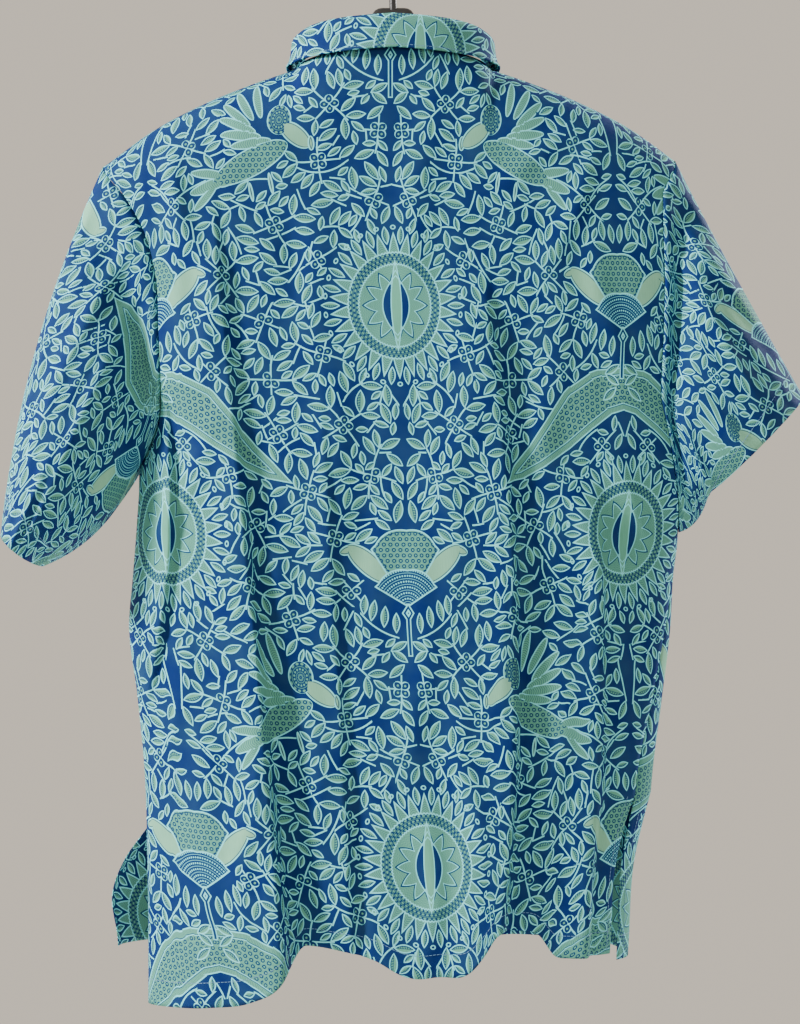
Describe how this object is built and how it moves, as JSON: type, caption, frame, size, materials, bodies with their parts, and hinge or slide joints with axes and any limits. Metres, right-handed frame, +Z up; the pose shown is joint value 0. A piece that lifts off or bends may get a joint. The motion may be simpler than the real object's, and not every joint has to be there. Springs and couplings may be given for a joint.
{
  "type": "batik shirt on a clothes hanger",
  "caption": "Short-sleeved buttoned shirt with a turned-down collar and side slits, in figured blue cotton, hanging open and hollow on a plain plastic hanger.",
  "frame": {"origin": "top of the inside of the hanger's hook, where a rail carries it", "axes": "+Z up, +X towards the wearer's left, +Y out of the back of the shirt"},
  "size_m": [0.663, 0.1261, 0.8942],
  "materials": {
    "cloth": "plain-woven cotton, wax-resist figured in sage green on royal blue",
    "buttons": "polished four-hole shirt button",
    "hanger": "black moulded plastic"
  },
  "bodies": {
    "root": {"back": "cloth", "front_left": "cloth", "front_right": "cloth", "sleeve_left": "cloth", "sleeve_right": "cloth", "collar_stand": "cloth", "collar_fall": "cloth", "placket": "cloth", "button_0": "buttons", "button_1": "buttons", "button_2": "buttons", "button_3": "buttons", "button_4": "buttons", "button_5": "buttons", "button_6": "buttons", "hanger": "hanger"}
  },
  "joints": []
}
